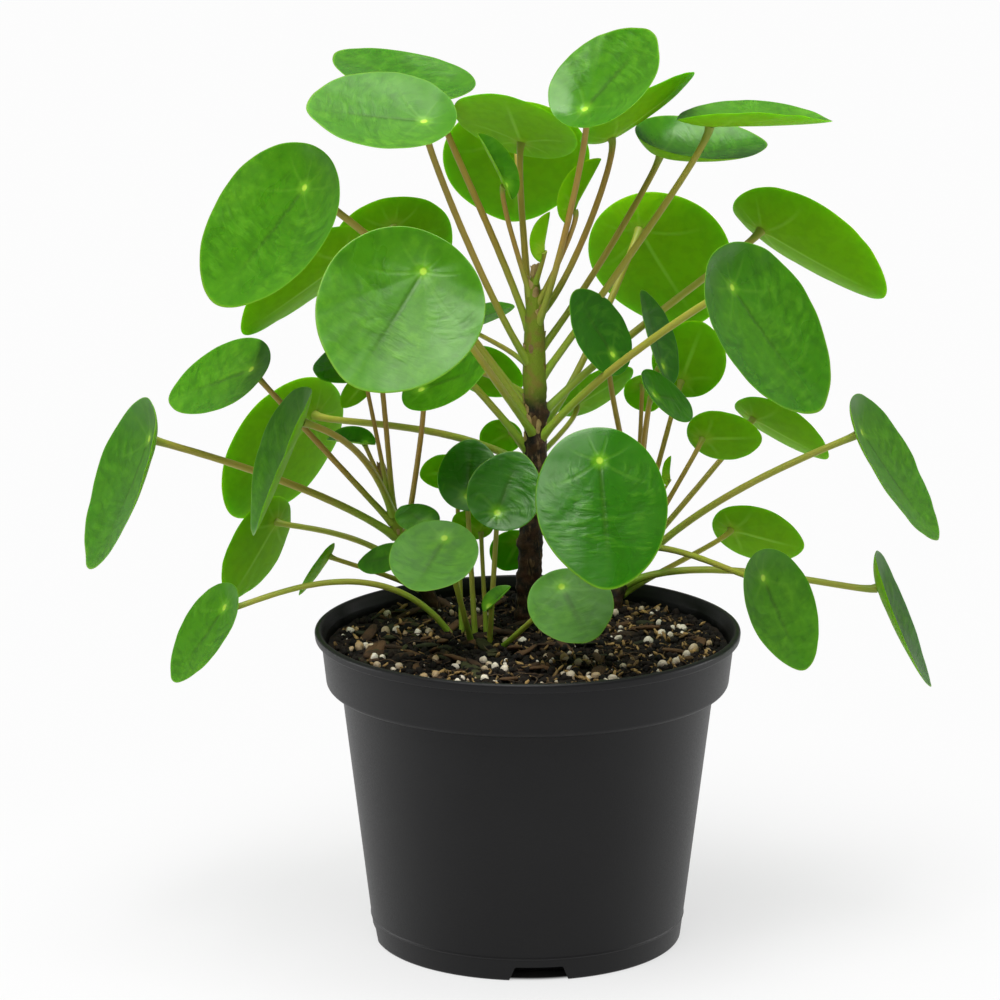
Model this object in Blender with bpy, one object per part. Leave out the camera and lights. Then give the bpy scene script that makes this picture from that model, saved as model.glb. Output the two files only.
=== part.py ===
"""A potted pilea: a black plastic nursery pot of potting mix that holds a woody main stem, two side
stems and a young plantlet. Every leaf is one piece, a round blade on its own petiole, which is
joined to the underside of the blade near its upper edge.

Lengths are in millimetres and become metres where a mesh is made. +Z is up, the origin is the
middle of the pot's underside, and the front of the plant faces -Y.
"""
import math

import bmesh
import bpy
from mathutils import Quaternion, Vector

MM = 0.001
GAP = 0.3                   # left between pieces that touch
ROUND = 48                  # facets round the pot and the soil
FILLET_STEPS = 3            # facets along each rounded corner of a turned outline

# ---- pot ----
POT_HEIGHT = 116.3
BASE_RADIUS = 56.4
WALL_RADIUS = 68.0          # at the foot of the band
BAND_RADIUS = 73.2          # the band's lower edge
BAND_TOP_RADIUS = 75.2
LIP_RADIUS = 77.7
BAND_HEIGHT = 21.0
LIP_HEIGHT = 3.4
WALL = 1.5
FLOOR = 2.0
BAND_FILLET = 2.4           # round the band's lower edge
FOOT_FILLET = 1.2
LIP_FILLET = 1.0
DRAINS = 4
DRAIN_TURN = 4.0            # degrees, so that no drain faces exactly forward
DRAIN_TOP_WIDTH = 18.0
DRAIN_BOTTOM_WIDTH = 21.5
DRAIN_HEIGHT = 5.4
DRAIN_REACH = 45.0          # the drains start this far from the axis
PAST = 5.0                  # how far a cutter reaches past the surface that it opens

# ---- soil ----
SOIL_TOP = 112.2            # at its middle
SOIL_SAG = 1.2              # how much lower its edge lies
SOIL_RADIUS = 72.5

# ---- stems: (x, y, z, radius), from the foot up ----
STEM_SIDES = 12
STEMS = {
    "main_stem": [
        (0, 28, 94, 4.8), (0, 28, 112, 4.8), (1.5, 28, 145, 4.6), (3, 28, 180, 4.4),
        (2.5, 28, 205, 4.3), (2.5, 28, 222, 3.6), (2.5, 27.5, 235, 2.4), (2.5, 27, 243, 1.0)],
    "left_stem": [
        (-35, 46, 94, 2.9), (-35, 46, 112, 2.9), (-42, 47.5, 126, 2.6), (-48, 48, 140, 2.4),
        (-51, 48, 152, 1.8), (-54, 48, 163, 0.7)],
    "right_stem": [
        (33, 48, 94, 2.9), (33, 48, 112, 2.8), (36.5, 52, 122, 2.6), (39.5, 55, 131, 2.4),
        (41, 56, 140, 1.9), (41.5, 56, 149, 0.8)],
}

# ---- leaves ----
# root: how high on its stem the petiole starts, or its (x, y) in the soil for the plantlet
# navel: where the petiole meets the blade
# facing: compass bearing (0 to the front, 90 to the right) and elevation of the blade's upper side
# spin: turn of the tip away from straight downhill
# length and width of the blade, and cup: how far its rim stands in front of the navel
# fold: how far each half turns up, in degrees; rise: how far the petiole arches above a straight line
#   root      navel               facing      spin  length width cup fold rise
LEAVES = {
    "main_stem": [
        (239, (5, 18, 252), (-115, 5), -165, 18, 12, 0, 50, 0),
        (234, (-8, 20, 276), (55, 30), -175, 26, 15, 0, 42, 0),
        (231, (16, 15, 268), (-120, 20), -155, 26, 18, 0, 50, 0),
        (227, (30, 40, 290.5), (-125, 53), -155, 47, 42, 4, 5, -6),
        (224, (20, 0, 307), (-40, 45), 160, 45, 43, 4, 5, -4),
        (221, (-33, 40, 306), (38, 77), -158, 54, 48, 4, 5, 4),
        (218, (-2, 45, 288), (152, 52), -168, 46, 47, -2, 5, 0),
        (210, (-4, 95, 283), (180, 23), 0, 52, 55, 2, 5, 0),
        (213, (49, 56, 282), (35, 76), 65, 48, 42, 7, 5, -2),
        (209, (-37, -5, 303.5), (12, 66), -100, 52, 50, 2, 8, -4),
        (206, (-23, 70, 215), (-60, 68), 155, 24, 20, 0, 10, 2),
        (203, (66, 34, 296), (165, 87), -75, 55, 44, 2, 18, 0),
        (195, (-21, 65, 200), (165, 20), -70, 26, 22, 0, 5, 2),
        (191, (-50, 60, 254), (-165, 30), -10, 50, 46, 2, 5, 0),
        (189, (88, 80, 249), (135, 42), -50, 65, 57, 3, 15, 3),
        (187, (-79.5, -10, 280.5), (-44, 33), -18, 65, 60, 4, 6, 9),
        (184, (42.5, 93, 246.5), (167, 20), -25, 58, 55, 2, 5, -7),
        (183, (-36.5, -68, 261.5), (0, 28), -30, 59, 58, 1, 5, 0),
        (181, (72, -28, 248), (53, 30), 15, 66, 61, 4, 6, 4),
        (176, (-66, 30, 248), (-133, 40), 40, 58, 50, 1, 15, 3),
        (173, (18, 70, 184), (-147, 38), -128, 31, 25, 1, 8, 0),
        (171, (-6, 60, 176), (180, 23), 55, 16, 16, 0, 5, 0),
        (169, (-81, 90, 176), (-138, 20), 31, 61, 55, 3, 6, 6),
        (165, (25, -48, 190), (8, 32), 0, 58, 47, 2, 8, 2),
        (150, (-3, 50, 137), (180, 30), 20, 21, 18, 0, 5, 0),
    ],
    "left_stem": [
        (156, (-60, 38, 200), (-145, 25), 30, 16, 13, 0, 5, 0),
        (153, (-60, 45, 175), (0, 72), -100, 18, 14, 0, 35, 1),
        (150, (-55, 30, 211), (-35, 60), -65, 31, 26, 0, 5, 0),
        (147, (-82, 1, 193), (-80, 22), -2, 56, 49, 1, 18, 8),
        (144, (-101, 28, 206.5), (-48, 50), -50, 42, 36, 2, 8, 0),
        (139, (-139, 30, 180), (-72, 22), 8, 64, 57, 6, 8, 4),
        (130, (-37, 18, 151), (0, 65), -135, 17, 16, 0, 5, 0),
        (126, (-48, 25, 137), (-40, 60), -60, 19, 17, 0, 5, 0),
        (136, (-38.5, 5, 204), (-50, 54), 128, 34, 31, 1, 6, 0),
        (123, (-95, 70, 139), (-127, 16), 27, 42, 36, 2, 8, 6),
        (119, (-74, 45, 132), (-109, 30), 22, 23, 18, 1, 8, 1),
    ],
    "right_stem": [
        (148, (31, 18.3, 214), (56, 28), -162, 34, 33, 1, 8, 0),
        (143, (43, 62, 194), (180, 23), -15, 17, 16, 0, 5, 0),
        (141, (50, 40, 205), (70, 20), 175, 36, 27, 1, 12, 0),
        (131, (58, 75, 192), (170, 10), -160, 31, 28, 1, 5, 0),
        (134, (46, 14, 200), (70, 44), 65, 27, 25, 1, 5, 0),
        (129, (66, 68, 172), (167, 33), -92, 28, 26, 1, 5, 0),
        (126, (87, 102, 172), (136, 45), -48, 40, 36, 1, 12, 0),
        (132, (85, -12, 138), (49, 24), 5, 45, 38, 2, 8, 4),
        (123, (124, 45, 179), (75, 32), 3, 60, 55, 4, 8, 7),
        (120, (131, 40, 121), (84, 22), 14, 56, 45, 2, 8, 7),
        (116, (77, 87, 132), (160, 36), -72, 35, 32, 1, 6, 1),
    ],
    "plantlet": [
        ((-19, 5), (-22, 10, 163), (0, 38), 175, 28, 23, 1, 5, 0),
        ((-14, 0), (-11, -3, 160), (0, 30), 160, 30, 27, 1, 6, 0),
        ((-15, 7), (-17, 19, 148), (180, 32), 135, 16, 15, 0, 5, 0),
        ((-20, -1), (-30, -24, 156), (-10, 55), -15, 33, 32, 1, 5, 0),
        ((-27, 10), (-110, -8, 126), (-63, 34), -5, 40, 35, 2, 8, 18),
        ((-10, -4), (12, -28, 139), (0, 48), 22, 32, 31, 1, 5, 0),
        ((-14, -7), (-14, -10, 127), (-50, 45), 160, 13, 9, 0, 35, 0),
        ((-24, 12), (-26, 31, 168), (180, 23), 80, 17, 16, 0, 5, 0),
    ],
}
NAVEL_AT = 0.22             # the navel's distance from the blade's upper edge, as a share of its length
TAPER = 0.10                # how much narrower the half towards the tip is
SECTORS = 12                # round the blade; the petiole has half as many sides
BLADE_THICKNESS = 1.0       # in its middle; the rim is sharp
PETIOLE_RADIUS = 0.75       # of the smallest leaf's petiole
PETIOLE_GROWTH = 0.013      # and how much it grows with the blade's length
PETIOLE_REACH = 0.07        # the petiole's last stretch, square to the blade, as a share of the length
PETIOLE_STATIONS = (2 / 3, 1 / 3, 0)    # from the blade's end down to the root


# ---- meshes ----
def new_object(name, bm, color, roughness, sharp=50):
    """One named object with its own material, from a bmesh in millimetres."""
    bmesh.ops.scale(bm, vec=(MM, MM, MM), verts=bm.verts)
    mesh = bpy.data.meshes.new(name)
    bm.to_mesh(mesh)
    bm.free()
    mesh.shade_smooth()
    mesh.set_sharp_from_angle(angle=math.radians(sharp))
    material = bpy.data.materials.new(name)
    material.use_nodes = True
    shader = material.node_tree.nodes["Principled BSDF"]
    shader.inputs["Base Color"].default_value = (*color, 1)
    shader.inputs["Roughness"].default_value = roughness
    mesh.materials.append(material)
    obj = bpy.data.objects.new(name, mesh)
    bpy.context.scene.collection.objects.link(obj)
    return obj


def rounded(corners):
    """An outline of (radius, height, fillet) corners, each fillet made into a short arc."""
    points = [Vector(corner[:2]) for corner in corners]
    outline = [points[0]]
    for before, corner, after, (_, _, fillet) in zip(points, points[1:], points[2:], corners[1:]):
        if not fillet:
            outline.append(corner)
            continue
        first, second = (before - corner).normalized(), (after - corner).normalized()
        half = first.angle(second) / 2
        centre = corner + (first + second).normalized() * fillet / math.sin(half)
        start = (corner + first * fillet / math.tan(half) - centre).normalized()
        end = (corner + second * fillet / math.tan(half) - centre).normalized()
        for i in range(FILLET_STEPS + 1):
            outline.append(centre + fillet * start.slerp(end, i / FILLET_STEPS))
    return outline + [points[-1]]


def turned(outline):
    """A closed solid turned about Z, from an outline that starts and ends on the axis."""
    bm = bmesh.new()
    verts = [bm.verts.new((radius, 0, height)) for radius, height in outline]
    edges = [bm.edges.new(pair) for pair in zip(verts, verts[1:])]
    bmesh.ops.spin(bm, geom=verts + edges, cent=(0, 0, 0), axis=(0, 0, 1), angle=2 * math.pi,
                   steps=ROUND, use_merge=True)
    bmesh.ops.remove_doubles(bm, verts=bm.verts, dist=0.001)
    bmesh.ops.recalc_face_normals(bm, faces=bm.faces)
    return bm


def carry(axes, old, new):
    """Turns a ring's two axes with the path, from the old direction to the new one, without twist."""
    turn = old.rotation_difference(new)
    return [turn @ axis for axis in axes]


def ring(bm, centre, axes, radius, sides):
    """A ring of vertices in the plane of two axes."""
    turns = [2 * math.pi * i / sides for i in range(sides)]
    return [bm.verts.new(centre + radius * (math.cos(t) * axes[0] + math.sin(t) * axes[1])) for t in turns]


def bridge(bm, first, second):
    """Faces between two rings of the same size."""
    for i in range(len(first)):
        j = (i + 1) % len(first)
        bm.faces.new((first[i], second[i], second[j], first[j]))


def tube(bm, centres, radii, axes, heading, sides):
    """Rings along a path, bridged and closed at the far end. Gives back the first ring."""
    rings = []
    for i, (centre, radius) in enumerate(zip(centres, radii)):
        if i:
            ahead = (centres[min(i + 1, len(centres) - 1)] - centres[i - 1]).normalized()
            axes = carry(axes, heading, ahead)
            heading = ahead
        rings.append(ring(bm, centre, axes, radius, sides))
    for near, far in zip(rings, rings[1:]):
        bridge(bm, far, near)
    bm.faces.new(rings[-1])
    return rings[0]


# ---- stems ----
def stem(points, extra=0.0):
    """A stem through the points, closed at both ends. extra widens it, which makes its socket."""
    bm = bmesh.new()
    centres = [Vector(point[:3]) for point in points]
    radii = [point[3] + extra for point in points]
    foot = tube(bm, centres, radii, [Vector((1, 0, 0)), Vector((0, 1, 0))], Vector((0, 0, 1)), STEM_SIDES)
    bm.faces.new(list(reversed(foot)))
    return bm


def stem_at(points, height):
    """Centre and radius of a stem at a height."""
    for low, high in zip(points, points[1:]):
        if height <= high[2]:
            break
    share = (height - low[2]) / (high[2] - low[2])
    mixed = [a + share * (b - a) for a, b in zip(low, high)]
    return Vector(mixed[:3]), mixed[3]


# ---- leaves ----
def blade_frame(facing, spin):
    """The blade's upper-side normal, the direction of its tip and its side direction."""
    bearing, elevation = (math.radians(angle) for angle in facing)
    level = math.cos(elevation)
    normal = Vector((level * math.sin(bearing), -level * math.cos(bearing), math.sin(elevation)))
    downhill = (normal * normal.z - Vector((0, 0, 1))).normalized()
    tip = Quaternion(normal, math.radians(spin)) @ downhill
    return normal, tip, normal.cross(tip)


def petiole_start(root, target, radius, points):
    """The petiole's first point: on the soil, or against the side of its stem, on the target's side."""
    if points is None:
        foot = Vector((*root, soil_height(math.hypot(*root))))
        lean = Vector((0, 0, 1)).cross((target - foot).normalized()).length
        return foot + Vector((0, 0, GAP + radius * lean))
    centre, stem_radius = stem_at(points, root)
    above, _ = stem_at(points, root + 1)
    along = (above - centre).normalized()
    heading = (target - centre).normalized()
    outward = (heading - heading.dot(along) * along).normalized()
    return centre + outward * (stem_radius + 2 * GAP + radius * abs(heading.dot(along)))


def blade(bm, navel, frame, length, width, cup, fold):
    """The blade's upper side, rim and lower side, all but the lower middle. Gives back its lower ring."""
    normal, tip, side = frame
    bend = math.radians(fold)

    def on_blade(turn, share):
        along = share * length * (0.5 - NAVEL_AT + 0.5 * math.cos(turn))
        across = share * 0.5 * width * math.sin(turn) * (1 - TAPER * math.cos(turn))
        height = abs(across) * math.sin(bend) + cup * share ** 2
        return navel + along * tip + across * math.cos(bend) * side + height * normal

    turns = [2 * math.pi * i / SECTORS for i in range(SECTORS)]
    rim = [bm.verts.new(on_blade(turn, 1.0)) for turn in turns]
    upper = [bm.verts.new(on_blade(turn, 0.5)) for turn in turns]
    lower = [bm.verts.new(vert.co - BLADE_THICKNESS * normal) for vert in upper]
    top = bm.verts.new(navel)
    for i in range(SECTORS):
        bm.faces.new((top, upper[i], upper[(i + 1) % SECTORS]))
    bridge(bm, upper, rim)
    bridge(bm, rim, lower)
    return lower


def leaf(root, navel, facing, spin, length, width, cup, fold, rise, points=None):
    """One leaf: a lens-thin blade and its petiole in one closed mesh."""
    bm = bmesh.new()
    navel = Vector(navel)
    normal, tip, side = blade_frame(facing, spin)
    lower = blade(bm, navel, (normal, tip, side), length, width, cup, fold)

    radius = PETIOLE_RADIUS + PETIOLE_GROWTH * length
    meet = navel - BLADE_THICKNESS * normal
    end = meet - PETIOLE_REACH * length * normal
    start = petiole_start(root, end + Vector((0, 0, 4 * rise)), radius, points)
    centres = [meet, end]
    for share in PETIOLE_STATIONS:
        arch = 4 * share * (1 - share) * rise
        centres.append(start.lerp(end, share) + Vector((0, 0, arch)))
    joint = tube(bm, centres, [radius] * len(centres), [side, tip], -normal, SECTORS // 2)
    fan_between(bm, joint, lower)
    return bm


def fan_between(bm, inner, outer):
    """Faces from the petiole's ring to the blade's lower ring, which has twice as many vertices."""
    count = len(outer)
    quarter = count // 4
    for i, vert in enumerate(inner):
        after = inner[(i + 1) % len(inner)]
        first, second, third = (outer[(quarter - 2 * i - j) % count] for j in range(3))
        bm.faces.new((vert, first, second))
        bm.faces.new((vert, second, after))
        bm.faces.new((after, second, third))


# ---- pot and soil ----
def make_pot():
    foot_of_band = POT_HEIGHT - BAND_HEIGHT
    under_lip = POT_HEIGHT - LIP_HEIGHT
    corners = [
        (0, 0, 0),
        (BASE_RADIUS, 0, FOOT_FILLET),
        (WALL_RADIUS, foot_of_band, 0),
        (BAND_RADIUS, foot_of_band, BAND_FILLET),
        (BAND_TOP_RADIUS, under_lip, 0),
        (LIP_RADIUS, under_lip, LIP_FILLET),
        (LIP_RADIUS, POT_HEIGHT, LIP_FILLET),
        (BAND_TOP_RADIUS - WALL, POT_HEIGHT, LIP_FILLET),
        (BAND_RADIUS - WALL, foot_of_band + WALL, BAND_FILLET - WALL),
        (WALL_RADIUS - WALL, foot_of_band + WALL, 0),
        (BASE_RADIUS - WALL, FLOOR, 0),
        (0, FLOOR, 0)]
    pot = new_object("pot", turned(rounded(corners)), (0.025, 0.025, 0.028), 0.45)
    for i in range(DRAINS):
        cut(pot, drain_cutter(i))


def drain_cutter(index):
    """A wedge with slanting sides that opens the pot's bottom edge."""
    low, high = DRAIN_BOTTOM_WIDTH / 2, DRAIN_TOP_WIDTH / 2
    outline = [(-low, 0), (low, 0), (high, DRAIN_HEIGHT), (-high, DRAIN_HEIGHT)]
    bm = bmesh.new()
    near = [bm.verts.new((DRAIN_REACH, y, z)) for y, z in outline]
    far = [bm.verts.new((BASE_RADIUS + PAST, y, z)) for y, z in outline]
    for vert in (*near[:2], *far[:2]):
        vert.co.z -= PAST
    bm.faces.new(far)
    bm.faces.new(list(reversed(near)))
    bridge(bm, far, near)
    cutter = new_object(f"drain_cutter_{index + 1}", bm, (1, 1, 1), 1)
    cutter.rotation_euler = (0, 0, math.radians(DRAIN_TURN + 360 * index / DRAINS - 90))
    return cutter


def cut(body, cutter):
    """Takes the cutter's volume out of the body."""
    cutter.hide_render = True
    cutter.display_type = "WIRE"
    modifier = body.modifiers.new(cutter.name, "BOOLEAN")
    modifier.operation = "DIFFERENCE"
    modifier.object = cutter


def soil_height(radius):
    """Height of the soil's surface at a distance from the axis."""
    return SOIL_TOP - SOIL_SAG * (radius / SOIL_RADIUS) ** 2


def make_soil():
    """The soil fills the pot, and steps up behind the drain openings."""
    ledge = POT_HEIGHT - BAND_HEIGHT + WALL + GAP
    inset = WALL + GAP
    step = DRAIN_HEIGHT + GAP
    corners = [
        (0, FLOOR + GAP, 0),
        (DRAIN_REACH - GAP, FLOOR + GAP, 0),
        (DRAIN_REACH - GAP, step, 0),
        (BASE_RADIUS - inset, step, 0),
        (WALL_RADIUS - inset, ledge, 0),
        (BAND_RADIUS - inset, ledge, BAND_FILLET - WALL)]
    shares = (1, 0.75, 0.5, 0.25, 0)
    corners += [(share * SOIL_RADIUS, soil_height(share * SOIL_RADIUS), 0) for share in shares]
    soil = new_object("soil", turned(rounded(corners)), (0.035, 0.024, 0.016), 0.95, sharp=30)
    for name, points in STEMS.items():
        x, y, bottom, radius = points[0]
        socket = [(x, y, bottom - GAP, radius), *points[:3]]
        cut(soil, new_object(f"{name}_socket", stem(socket, extra=GAP), (1, 1, 1), 1))


def main():
    for obj in list(bpy.data.objects):
        bpy.data.objects.remove(obj)
    make_pot()
    make_soil()
    for name, points in STEMS.items():
        new_object(name, stem(points), (0.10, 0.055, 0.03), 0.8)
    for name, rows in LEAVES.items():
        for i, row in enumerate(rows, 1):
            mesh = leaf(*row, points=STEMS.get(name))
            new_object(f"leaf_{name}_{i:02d}", mesh, (0.10, 0.24, 0.02), 0.4, sharp=60)


main()
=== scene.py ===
"""A potted pilea: round peltate leaves on long petioles, a woody main stem, two side stems and a
plantlet, in potting mix in a plain black nursery pot.

Every leaf, stem and pot is grown from the same measures as its CAD solid, finer and with the
surface of the real thing. The growth table is in millimetres, and all meshes are in metres.
+Z is up, the origin is the middle of the pot's underside, and the front faces -Y.
"""
import math
import random

import bmesh
import bpy
from mathutils import Matrix, Quaternion, Vector, noise


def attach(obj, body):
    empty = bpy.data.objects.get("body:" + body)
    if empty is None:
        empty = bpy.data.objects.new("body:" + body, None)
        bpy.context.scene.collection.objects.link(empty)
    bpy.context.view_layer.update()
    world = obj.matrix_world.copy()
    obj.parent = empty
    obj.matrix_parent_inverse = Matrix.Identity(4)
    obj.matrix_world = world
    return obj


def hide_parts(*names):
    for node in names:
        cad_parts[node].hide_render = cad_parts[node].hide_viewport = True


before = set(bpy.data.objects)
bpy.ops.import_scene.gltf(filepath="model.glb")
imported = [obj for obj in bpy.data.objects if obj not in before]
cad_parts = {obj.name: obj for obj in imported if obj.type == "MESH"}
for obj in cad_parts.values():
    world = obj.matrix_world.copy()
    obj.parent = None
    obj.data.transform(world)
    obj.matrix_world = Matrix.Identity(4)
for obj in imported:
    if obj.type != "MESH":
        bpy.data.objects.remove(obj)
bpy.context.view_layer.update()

MM = 0.001

# ---- pot and soil ----
POT_HEIGHT = 116.3
BASE_RADIUS = 56.4
WALL_RADIUS = 68.0          # at the foot of the band
BAND_RADIUS = 73.2          # the band's lower edge
BAND_TOP_RADIUS = 75.2
LIP_RADIUS = 77.7
BAND_HEIGHT = 21.0
LIP_HEIGHT = 3.4
WALL = 1.5
FLOOR = 2.0
DRAINS = 4
DRAIN_TURN = 4.0            # degrees, so that no drain faces exactly forward
DRAIN_TOP_WIDTH = 18.0
DRAIN_BOTTOM_WIDTH = 21.5
DRAIN_HEIGHT = 5.4
DRAIN_REACH = 45.0
SOIL_TOP = 111.2            # its mean height in the middle, with the crumbs and chips above it
SOIL_SAG = 1.2
SOIL_RADIUS = 72.5

# ---- stems: (x, y, z, radius), from the foot up ----
STEMS = {
    "main_stem": [
        (0, 28, 94, 4.8), (0, 28, 112, 4.8), (1.5, 28, 145, 4.6), (3, 28, 180, 4.4),
        (2.5, 28, 205, 4.3), (2.5, 28, 222, 3.6), (2.5, 27.5, 235, 2.4), (2.5, 27, 243, 1.0)],
    "left_stem": [
        (-35, 46, 94, 2.9), (-35, 46, 112, 2.9), (-42, 47.5, 126, 2.6), (-48, 48, 140, 2.4),
        (-51, 48, 152, 1.8), (-54, 48, 163, 0.7)],
    "right_stem": [
        (33, 48, 94, 2.9), (33, 48, 112, 2.8), (36.5, 52, 122, 2.6), (39.5, 55, 131, 2.4),
        (41, 56, 140, 1.9), (41.5, 56, 149, 0.8)],
}
GREEN_FROM = {"main_stem": 0.203, "left_stem": 0.134, "right_stem": 0.128}      # metres up
BARE_BELOW = 168            # how high the main stem has lost its stipules

# ---- leaves ----
# root: how high on its stem the petiole starts, or its (x, y) in the soil for the plantlet
# navel: where the petiole meets the blade
# facing: bearing (0 to the front, 90 to the right) and elevation of the blade's upper side
# spin: turn of the tip away from straight downhill
# length and width of the blade, and cup: how far its rim stands in front of the navel
# fold: how far each half turns up, in degrees; rise: how far the petiole arches
# tan: how brown its petiole is, from 0 for yellow-green to 1
#   root      navel               facing      spin  length width cup fold rise tan
LEAVES = {"main_stem": [
    (239, (5, 18, 252), (-115, 5), -165, 18, 12, 0, 50, 0, 0.3),
    (234, (-8, 20, 276), (55, 30), -175, 26, 15, 0, 42, 0, 0.9),
    (231, (16, 15, 268), (-120, 20), -155, 26, 18, 0, 50, 0, 0.9),
    (227, (30, 40, 290.5), (-125, 53), -155, 47, 42, 4, 5, -6, 0.9),
    (224, (20, 0, 307), (-40, 45), 160, 45, 43, 4, 5, -4, 0.9),
    (221, (-33, 40, 306), (38, 77), -158, 54, 48, 4, 5, 4, 0.8),
    (218, (-2, 45, 288), (152, 52), -168, 46, 47, -2, 5, 0, 0.6),
    (210, (-4, 95, 283), (180, 23), 0, 52, 55, 2, 5, 0, 0.6),
    (213, (49, 56, 282), (35, 76), 65, 48, 42, 7, 5, -2, 0.6),
    (209, (-37, -5, 303.5), (12, 66), -100, 52, 50, 2, 8, -4, 0.75),
    (206, (-23, 70, 215), (-60, 68), 155, 24, 20, 0, 10, 2, 0.5),
    (203, (66, 34, 296), (165, 87), -75, 55, 44, 2, 18, 0, 0.45),
    (195, (-21, 65, 200), (165, 20), -70, 26, 22, 0, 5, 2, 0.4),
    (191, (-50, 60, 254), (-165, 30), -10, 50, 46, 2, 5, 0, 0.5),
    (189, (88, 80, 249), (135, 42), -50, 65, 57, 3, 15, 3, 0.25),
    (187, (-79.5, -10, 280.5), (-44, 33), -18, 65, 60, 4, 6, 9, 0.6),
    (184, (42.5, 93, 246.5), (167, 20), -25, 58, 55, 2, 5, -7, 0.3),
    (183, (-36.5, -68, 261.5), (0, 28), -30, 59, 58, 1, 5, 0, 0.4),
    (181, (72, -28, 248), (53, 30), 15, 66, 61, 4, 6, 4, 0.3),
    (176, (-66, 30, 248), (-133, 40), 40, 58, 50, 1, 15, 3, 0.3),
    (173, (18, 70, 184), (-147, 38), -128, 31, 25, 1, 8, 0, 0.2),
    (171, (-6, 60, 176), (180, 23), 55, 16, 16, 0, 5, 0, 0.2),
    (169, (-81, 90, 176), (-138, 20), 31, 61, 55, 3, 6, 6, 0.2),
    (165, (25, -48, 190), (8, 32), 0, 58, 47, 2, 8, 2, 0.2),
    (150, (-3, 50, 137), (180, 30), 20, 21, 18, 0, 5, 0, 0.3),
], "left_stem": [
    (156, (-60, 38, 200), (-145, 25), 30, 16, 13, 0, 5, 0, 0.9),
    (153, (-60, 45, 175), (0, 72), -100, 18, 14, 0, 35, 1, 0.6),
    (150, (-55, 30, 211), (-35, 60), -65, 31, 26, 0, 5, 0, 0.9),
    (147, (-82, 1, 193), (-80, 22), -2, 56, 49, 1, 18, 8, 0.6),
    (144, (-101, 28, 206.5), (-48, 50), -50, 42, 36, 2, 8, 0, 0.9),
    (139, (-139, 30, 180), (-72, 22), 8, 64, 57, 6, 8, 4, 0.5),
    (130, (-37, 18, 151), (0, 65), -135, 17, 16, 0, 5, 0, 0.4),
    (126, (-48, 25, 137), (-40, 60), -60, 19, 17, 0, 5, 0, 0.4),
    (136, (-38.5, 5, 204), (-50, 54), 128, 34, 31, 1, 6, 0, 0.9),
    (123, (-95, 70, 139), (-127, 16), 27, 42, 36, 2, 8, 6, 0.2),
    (119, (-74, 45, 132), (-109, 30), 22, 23, 18, 1, 8, 1, 0.4),
], "right_stem": [
    (148, (31, 18.3, 214), (56, 28), -162, 34, 33, 1, 8, 0, 0.7),
    (143, (43, 62, 194), (180, 23), -15, 17, 16, 0, 5, 0, 0.8),
    (141, (50, 40, 205), (70, 20), 175, 36, 27, 1, 12, 0, 0.8),
    (131, (58, 75, 192), (170, 10), -160, 31, 28, 1, 5, 0, 0.6),
    (134, (46, 14, 200), (70, 44), 65, 27, 25, 1, 5, 0, 0.8),
    (129, (66, 68, 172), (167, 33), -92, 28, 26, 1, 5, 0, 0.7),
    (126, (87, 102, 172), (136, 45), -48, 40, 36, 1, 12, 0, 0.5),
    (132, (85, -12, 138), (49, 24), 5, 45, 38, 2, 8, 4, 0.15),
    (123, (124, 45, 179), (75, 32), 3, 60, 55, 4, 8, 7, 0.25),
    (120, (131, 40, 121), (84, 22), 14, 56, 45, 2, 8, 7, 0.15),
    (116, (78, 87, 132), (160, 36), -72, 35, 32, 1, 6, 1, 0.4),
], "plantlet": [
    ((-19, 5), (-22, 10, 163), (0, 38), 175, 28, 23, 1, 5, 0, 0.3),
    ((-14, 0), (-11, -3, 160), (0, 30), 160, 30, 27, 1, 6, 0, 0.3),
    ((-15, 7), (-17, 19, 148), (180, 32), 135, 16, 15, 0, 5, 0, 0.2),
    ((-20, -1), (-30, -24, 156), (-10, 55), -15, 33, 32, 1, 5, 0, 0.1),
    ((-27, 10), (-110, -8, 126), (-63, 34), -5, 40, 35, 2, 8, 18, 0.1),
    ((-10, -4), (12, -28, 139), (0, 48), 22, 32, 31, 1, 5, 0, 0.05),
    ((-14, -7), (-14, -10, 127), (-50, 45), 160, 13, 9, 0, 35, 0, 0.1),
    ((-24, 12), (-26, 31, 168), (180, 23), 80, 17, 16, 0, 5, 0, 0.3),
]}
BUD = (138, (52, 45, 161), (-100, 5), -165, 11, 7, 0, 50, 0, 0.1)     # on the right stem


def blades(**numbers):
    """The names of blades, from the numbers of their rows on each stem."""
    return {f"blade_{stem}_{i:02d}" for stem, rows in numbers.items() for i in rows}


DEEP_GREEN = blades(main_stem=(24, 25), right_stem=(1, 3, 5), plantlet=(1, 2, 3))
ARCHED = blades(main_stem=(24,))        # its halves bend away from the midrib, not towards it
DULL = blades(main_stem=(10,), left_stem=(4, 6, 10), right_stem=(1, 3, 8, 9, 10), plantlet=(4, 5, 6))
TINY, SMALL, LARGE = 12, 20, 42         # lengths from which petioles and blades differ in shape
FOLDED_FROM = 10            # the fold from which a blade isn't open yet
NAVEL_AT = 0.22             # the navel's distance from the upper edge, as a share of the length
NAVEL_DIP = 0.6             # how far the petiole pulls the navel down
VEINS = 7                   # that fan out from the navel
VEIN_CURVE = 0.35           # how far they bend towards the tip
SECTORS = 120               # of the blade, round its navel
RINGS = 18                  # from the navel to the rim
BLADE_THICKNESS = 0.9
PETIOLE_RADIUS = 0.75
PETIOLE_GROWTH = 0.013
PETIOLE_REACH = 0.14        # the petiole's last bend, square to the blade, as a share of the length

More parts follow.
